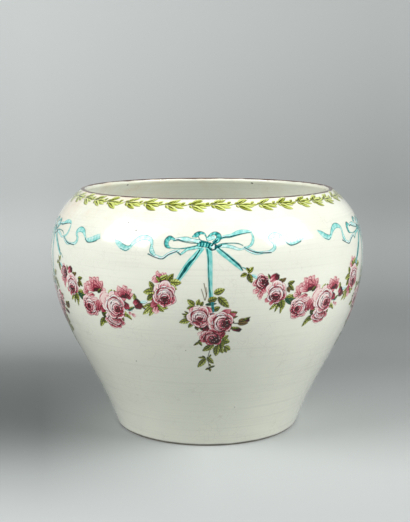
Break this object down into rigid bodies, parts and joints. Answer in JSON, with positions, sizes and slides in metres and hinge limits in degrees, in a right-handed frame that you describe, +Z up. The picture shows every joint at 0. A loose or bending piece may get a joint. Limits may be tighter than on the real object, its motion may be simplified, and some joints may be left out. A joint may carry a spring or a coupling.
{
  "type": "jardiniere",
  "caption": "Wide-bellied glazed earthenware jardiniere bowl with an open mouth, rounded lip and turned foot, printed with ribbon bows and rose swags, to hold a potted plant.",
  "frame": {"origin": "middle of the foot, on the surface that the bowl stands on", "axes": "+Z up along the axis that the bowl was turned on; a printed bow faces -Y"},
  "size_m": [0.31, 0.31, 0.236],
  "materials": {
    "glazed_cream": "glossy cream glaze, lightly crazed, with printed rose swags, ribbon bows and a leaf border under it"
  },
  "bodies": {
    "root": {"jardiniere_bowl": "glazed_cream"}
  },
  "joints": []
}
